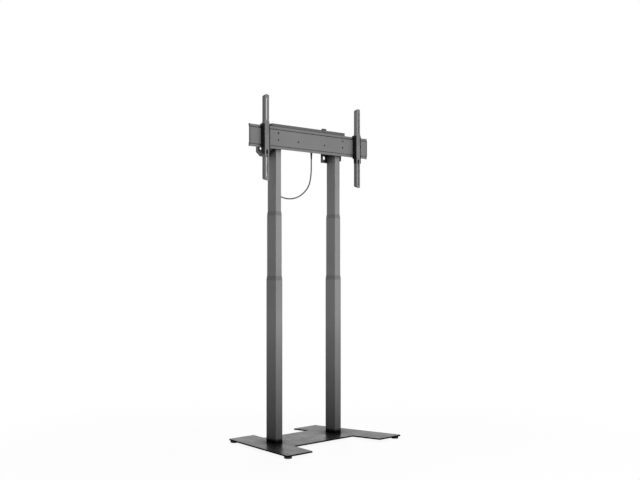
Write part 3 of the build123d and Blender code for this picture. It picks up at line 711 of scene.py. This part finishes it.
def makePadRibs():
    net = Pattern("padRibs", padRibs["sizes"])
    rib = net.rim(net.taken("Pad Width") / 2, net.taken("Rib Width") / 2)
    net.close(net.repeated(rib, padRibs["count"], net.vector(0, 0, net.taken("Rib Pitch"))))
    for name in levellingFeet:
        centre = centreOf(name)
        places = [(centre.x, centre.y, padRibs["rise"])]
        net.realised(name + "Ribs", places, plastics["foot"], name, "black_plastic")


# Rivets that hold the cheeks: flattened domes on the outer faces
rivet = {
    "sizes": {"Width": 0.0070, "Proud": 0.0012},
    "segments": 20,
    "rings": 12,
    "inset": 0.008,
    "levelShares": (0.17, 0.56, 0.9),
}


def makeRivets():
    net = Pattern("cheekRivets", rivet["sizes"])
    width = net.taken("Width")
    values = {"Segments": rivet["segments"], "Rings": rivet["rings"], "Radius": width / 2}
    dome = net.add("GeometryNodeMeshUVSphere", {}, values)
    flat = net.moved(dome, (0, 0, 0), net.vector(net.taken("Proud") / width * 2, 1, 1))
    net.close(flat)
    for side in hands:
        low, high = cornersOf(f"{side}_cheeks")
        places = []
        for share in rivet["levelShares"]:
            z = low.z + share * (high.z - low.z)
            places += [(x, low.y + rivet["inset"], z) for x in (low.x, high.x)]
        net.realised(f"{side}CheekRivets", places, steels["blackened"], f"{side}_arm", "black_steel")


# Receiver window: a thin rounded pane on the front of the block
window = {
    "width": 0.020,
    "height": 0.010,
    "thickness": 0.0006,
    "rounding": 0.0016,
    "roundingSteps": 5,
    "profile": 0.5,
    "rise": 0.007,
    "flatAngle": 1,
}


def makeWindow():
    low = cornersOf("receiver_block")[0]
    centre = centreOf("receiver_block")
    thickness = window["thickness"]
    mesh = bmesh.new()
    for x in (-window["width"] / 2, window["width"] / 2):
        for y in (-thickness, thickness / 2):
            for z in (0, window["height"]):
                mesh.verts.new((centre.x + x, low.y + y, low.z + window["rise"] + z))
    bmesh.ops.convex_hull(mesh, input=mesh.verts)
    flatAngle = radians(window["flatAngle"])
    bmesh.ops.dissolve_limit(mesh, angle_limit=flatAngle, verts=mesh.verts, edges=mesh.edges)
    through = [edge for edge in mesh.edges if abs(edge.verts[0].co.y - edge.verts[1].co.y) > thickness]
    bmesh.ops.bevel(
        mesh,
        geom=through,
        offset=window["rounding"],
        segments=window["roundingSteps"],
        profile=window["profile"],
        affect="EDGES",
    )
    bmesh.ops.recalc_face_normals(mesh, faces=mesh.faces)
    data = bpy.data.meshes.new("receiverWindow")
    mesh.to_mesh(data)
    mesh.free()
    data.materials.append(paneFinish)
    piece = linkObject("receiverWindow", data)
    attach(piece, "carriage")


makeRailScrews()
makeGlands()
makePadRibs()
makeRivets()
makeWindow()
print("small pieces made")

# Studio: a pale floor that keeps the shadow, a white surround, and soft lamps in front, on the left, above
# and behind on the right
studio = {
    "floorSize": 14,
    "floorTone": 0.55,
    "clearFrom": 0.7,
    "clearTo": 2.2,
    "clearLeast": 0.92,
    "surround": 0.33,
    "lamps": (
        {"place": (-0.2, -3.3, 1.7), "aim": (0.1, 0, 1.6), "size": 1.2, "watts": 73, "spread": 120},
        {"place": (-2.8, -0.8, 2.2), "aim": (0, 0, 1.9), "size": 1.2, "watts": 8.5, "spread": 110},
        {"place": (0.2, 0.3, 3.6), "aim": (0, 0, 0), "size": 1.6, "watts": 34, "spread": 180},
        {"place": (2.4, 2.7, 2.0), "aim": (0, 0, 1.2), "size": 1.6, "watts": 75, "spread": 120},
    ),
}


# To the camera the floor is mostly plain white, and nothing else from clearTo metres outwards
def makeFloor():
    half = studio["floorSize"] / 2
    mesh = bmesh.new()
    corners = ((-half, -half), (half, -half), (half, half), (-half, half))
    mesh.faces.new([mesh.verts.new((x, y, 0)) for x, y in corners])
    data = bpy.data.meshes.new("studioFloor")
    mesh.to_mesh(data)
    mesh.free()
    floor = linkObject("studioFloor", data)
    net = Finish("paleFloor")
    radius = net.add("ShaderNodeVectorMath", {"operation": "LENGTH"}, {0: net.coords}, 1)
    seen = net.rays("Is Camera Ray")
    clear = net.ramp(radius, studio["clearFrom"], studio["clearTo"], studio["clearLeast"], 1)
    matt = net.add("ShaderNodeBsdfDiffuse", {}, {"Color": grey(studio["floorTone"])})
    white = net.add("ShaderNodeEmission", {}, {"Color": grey(1), "Strength": 1})
    shown = net.add("ShaderNodeMixShader", {}, {0: clear * seen, 1: matt, 2: white})
    net.add("ShaderNodeOutputMaterial", {}, {"Surface": shown})
    data.materials.append(net.material)


# White to the camera, in reflections and through clear surfaces, and a softer light on the object
def makeSurround():
    world = bpy.data.worlds.new("whiteSurround")
    bpy.context.scene.world = world
    world.use_nodes = True
    net = Net(world.node_tree)
    seen = net.rays("Is Camera Ray") + net.rays("Is Glossy Ray") + net.rays("Is Transmission Ray")
    strength = net.ramp(seen, 0, 1, studio["surround"], 1)
    background = net.add("ShaderNodeBackground", {}, {"Color": grey(1), "Strength": strength})
    net.add("ShaderNodeOutputWorld", {}, {"Surface": background})


# Only the surround shows in gloss, so that no lamp glares on the base plate
def makeLamp(name, lamp):
    data = bpy.data.lights.new(name, "AREA")
    data.shape = "DISK"
    data.size = lamp["size"]
    data.energy = lamp["watts"]
    data.spread = radians(lamp["spread"])
    piece = linkObject(name, data)
    piece.visible_glossy = False
    piece.location = lamp["place"]
    direction = Vector(lamp["aim"]) - Vector(lamp["place"])
    piece.rotation_euler = direction.to_track_quat("-Z", "Y").to_euler()


makeFloor()
makeSurround()
for index, lamp in enumerate(studio["lamps"]):
    makeLamp(f"softLamp{index}", lamp)
print("studio lit")

bpy.context.view_layer.update()
